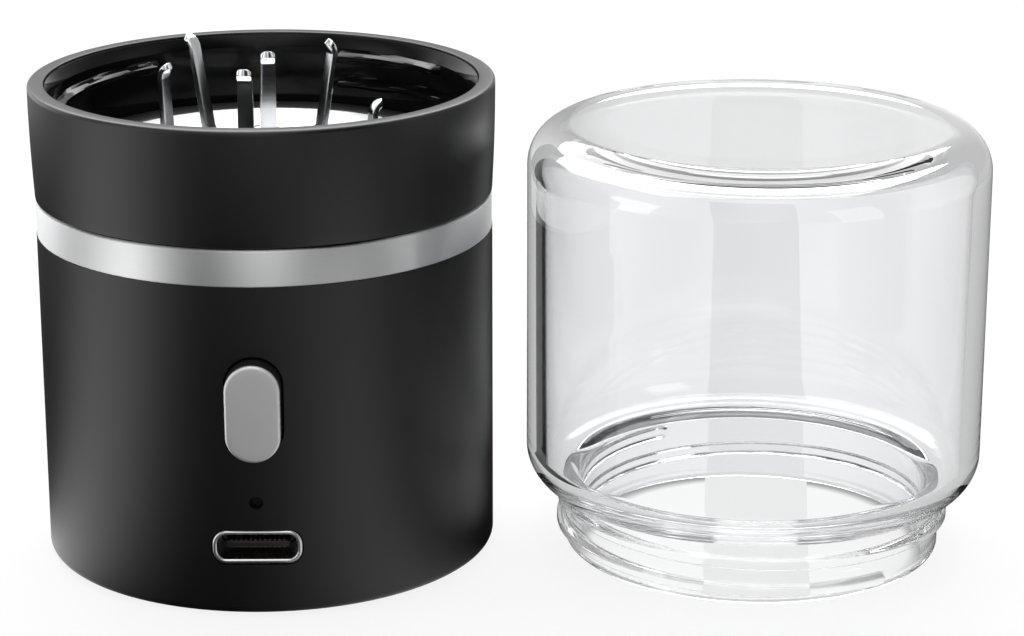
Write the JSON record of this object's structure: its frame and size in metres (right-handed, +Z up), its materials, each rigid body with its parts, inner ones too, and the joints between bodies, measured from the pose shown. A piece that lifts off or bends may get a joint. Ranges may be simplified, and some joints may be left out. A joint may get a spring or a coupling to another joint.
{
  "type": "glass grinder",
  "caption": "Rechargeable motor base with upright blades in a threaded bowl, and a clear glass jar with a threaded neck beside it.",
  "frame": {"origin": "centre of the foot pad's underside, on the base's axis", "axes": "+Z up along the base's axis, -Y towards the button and the socket, +X towards the jar"},
  "size_m": [0.1034, 0.052, 0.0571],
  "materials": {
    "casing_black": "fine matte moulded black",
    "pad_rubber": "matte rubber",
    "screw_steel": "plated steel",
    "band_steel": "finely brushed round the ring",
    "bowl_gloss": "polished moulded black",
    "dish_steel": "satin stamped stainless steel",
    "seal_rubber": "smooth silicone",
    "inner_plastic": "moulded",
    "can_steel": "zinc plated",
    "magnet": "sintered ferrite",
    "end_cap_plastic": "moulded nylon",
    "copper": "enamelled or bare copper",
    "bush_bronze": "sintered bronze",
    "lead_plastic": "insulated wire",
    "cell_foil": "foil pouch",
    "board_green": "solder mask",
    "chip_black": "moulded epoxy",
    "socket_steel": "plated steel",
    "tongue_plastic": "moulded",
    "contact_gold": "gold plated",
    "switch_plastic": "moulded",
    "lamp_white": "unlit",
    "pipe_clear": "clear moulded rod",
    "shaft_steel": "ground",
    "core_steel": "laminated steel",
    "hub_brass": "turned brass",
    "blade_steel": "polished stamped stainless steel",
    "button_metal": "satin with a polished edge",
    "clear_glass": "clear, fire polished"
  },
  "bodies": {
    "base": {"lower_housing": "casing_black", "bottom_cover": "casing_black", "collar": "casing_black", "foot_pad": "pad_rubber", "cover_screws": "screw_steel", "mount_screws": "screw_steel", "motor_screws": "screw_steel", "trim_band": "band_steel", "bowl": "bowl_gloss", "floor_dish": "dish_steel", "jar_seal": "seal_rubber", "shaft_seal": "seal_rubber", "motor_mount": "inner_plastic", "chassis": "inner_plastic", "motor_can": "can_steel", "motor_magnets": "magnet", "motor_end_cap": "end_cap_plastic", "motor_brushes": "copper", "shaft_bushes": "bush_bronze", "motor_leads": "lead_plastic", "battery_cell": "cell_foil", "battery_leads": "lead_plastic", "circuit_board": "board_green", "board_parts": "chip_black", "usb_shell": "socket_steel", "usb_tongue": "tongue_plastic", "usb_contacts": "contact_gold", "switch_body": "switch_plastic", "lamp_chip": "lamp_white", "light_pipe": "pipe_clear"},
    "rotor": {"motor_shaft": "shaft_steel", "armature_core": "core_steel", "armature_windings": "copper", "commutator": "copper", "blade_hub": "hub_brass", "short_blade": "blade_steel", "blade_spacer": "blade_steel", "tall_blade": "blade_steel", "blade_nut": "blade_steel"},
    "button": {"button_cap": "button_metal", "switch_plunger": "switch_plastic"},
    "jar": {"glass_jar": "clear_glass"}
  },
  "joints": [
    {"name": "blade_spin", "type": "hinge", "parent": "base", "child": "rotor", "pos_m": [0, 0, 0.045], "axis": [0, 0, 1], "continuous": true},
    {"name": "button_press", "type": "slide", "parent": "base", "child": "button", "axis": [0, 1, 0], "range_m": [0, 0.0005], "stiffness_N_per_m": 1500, "springref_m": -0.0003},
    {"name": "jar_lift", "type": "slide", "parent": "base", "child": "jar", "axis": [0, 0, 1], "range_m": [0, 0.06]}
  ]
}
